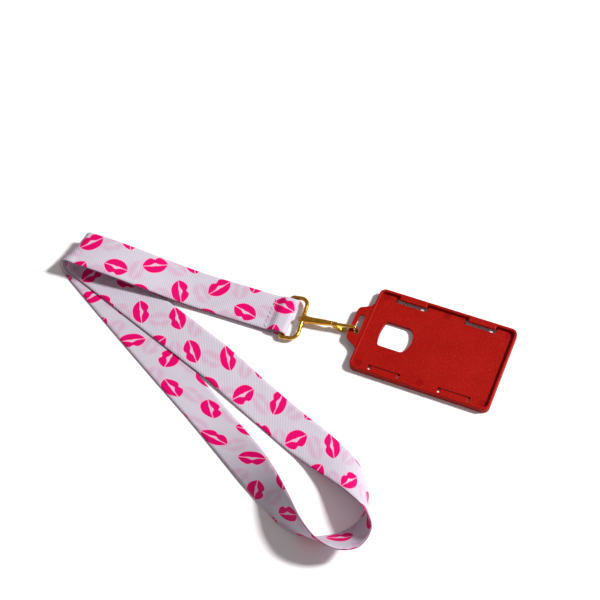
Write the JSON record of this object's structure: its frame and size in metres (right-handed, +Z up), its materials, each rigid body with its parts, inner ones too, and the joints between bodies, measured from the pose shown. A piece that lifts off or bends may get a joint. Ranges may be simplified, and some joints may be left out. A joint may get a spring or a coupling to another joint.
{
  "type": "lanyard badge holder",
  "caption": "Neck lanyard of printed ribbon with a swivel snap hook and an open-faced rigid card holder, lying flat with its strap folded back.",
  "frame": {"origin": "middle of the card holder's back face, on the table", "axes": "+X along the holder, away from its hanging tab; +Y across it; +Z up, out of the open card pocket"},
  "size_m": [0.2924, 0.1764, 0.022],
  "materials": {
    "red_plastic": "moulded, fine spark texture",
    "gold_metal": "gold-plated die casting and wire",
    "spring_steel": "drawn wire",
    "ribbon": "printed woven polyester",
    "thread": "polyester thread"
  },
  "bodies": {
    "lanyard": {"strap": "ribbon", "strap_stitching": "thread", "swivel_bow": "gold_metal"},
    "hook": {"hook_body": "gold_metal", "gate_pin": "gold_metal"},
    "gate": {"gate_lever": "gold_metal", "gate_spring": "spring_steel"},
    "holder": {"card_holder": "red_plastic"}
  },
  "joints": [
    {"name": "swivel", "type": "hinge", "parent": "lanyard", "child": "hook", "pos_m": [-0.0655, -0.0062, 0.00593], "axis": [0.9871, 0.1212, 0.1045], "continuous": true},
    {"name": "gate_pivot", "type": "hinge", "parent": "hook", "child": "gate", "pos_m": [-0.06271, -0.00586, 0.00406], "axis": [0.1219, -0.9925, 0], "range_deg": [0, 24], "stiffness_Nm_per_rad": 0.004, "springref_deg": -28.65},
    {"name": "holder_swing", "type": "hinge", "parent": "hook", "child": "holder", "pos_m": [-0.05071, -0.00438, 0.00405], "axis": [0, 1, 0], "range_deg": [-15, 30]}
  ]
}
